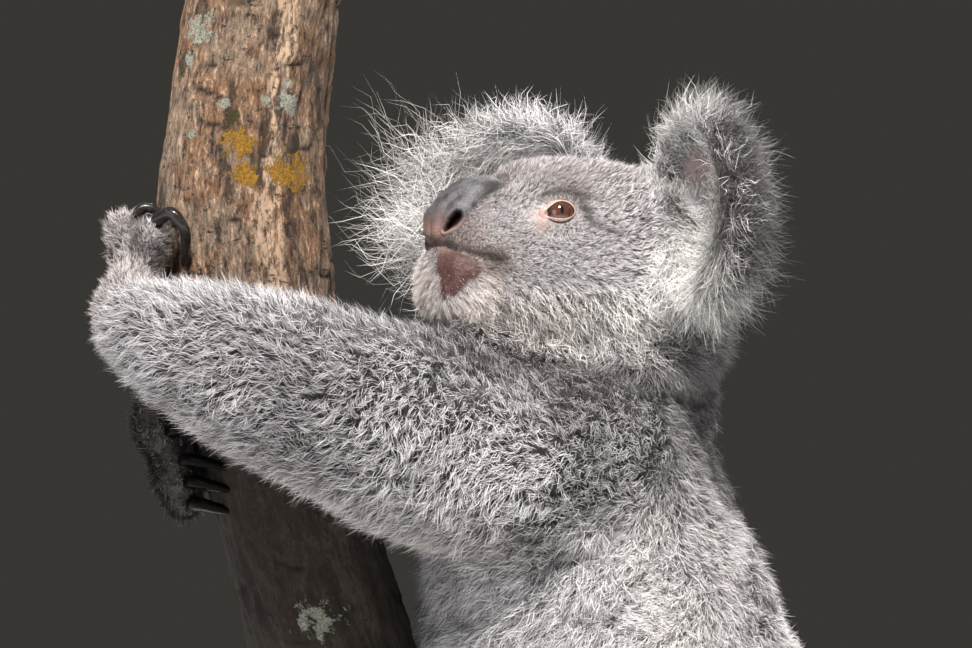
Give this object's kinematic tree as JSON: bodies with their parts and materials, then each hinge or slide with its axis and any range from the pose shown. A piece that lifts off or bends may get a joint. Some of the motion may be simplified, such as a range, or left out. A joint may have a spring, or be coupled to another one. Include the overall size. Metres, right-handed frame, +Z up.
{
  "type": "koala model",
  "caption": "Life-size still koala hugging a short cut length of tree stem, held upright on a flat base by a rod.",
  "frame": {"origin": "centre of the stand base's underside", "axes": "+Z up, the koala faces -X towards the stem, its left side faces -Y"},
  "size_m": [0.4516, 0.32, 0.79],
  "materials": {
    "fur": "soft grey fur",
    "pale_fur": "long soft whitish fur",
    "nose_skin": "fine-grained bare skin",
    "eye": "glossy",
    "claw": "semi-gloss horn",
    "bark": "rough bark",
    "stand_wood": "satin stained wood",
    "stand_steel": "brushed"
  },
  "bodies": {
    "root": {"belly": "fur", "chest": "fur", "ear_left": "pale_fur", "ear_right": "pale_fur", "eye_left": "eye", "eye_right": "eye", "foot_left": "fur", "foot_left_claw_2": "claw", "foot_left_claw_3": "claw", "foot_left_claw_4": "claw", "foot_left_claw_5": "claw", "foot_right": "fur", "foot_right_claw_2": "claw", "foot_right_claw_3": "claw", "foot_right_claw_4": "claw", "foot_right_claw_5": "claw", "forearm_left": "fur", "forearm_right": "fur", "hand_left": "fur", "hand_left_claw_1": "claw", "hand_left_claw_2": "claw", "hand_left_claw_3": "claw", "hand_left_claw_4": "claw", "hand_left_claw_5": "claw", "hand_right": "fur", "hand_right_claw_1": "claw", "hand_right_claw_2": "claw", "hand_right_claw_3": "claw", "hand_right_claw_4": "claw", "hand_right_claw_5": "claw", "head": "fur", "neck": "fur", "nose": "nose_skin", "perch": "bark", "shank_left": "fur", "shank_right": "fur", "stand_base": "stand_wood", "stand_flange": "stand_steel", "stand_rod": "stand_steel", "thigh_left": "fur", "thigh_right": "fur", "upper_arm_left": "fur", "upper_arm_right": "fur"}
  },
  "joints": []
}
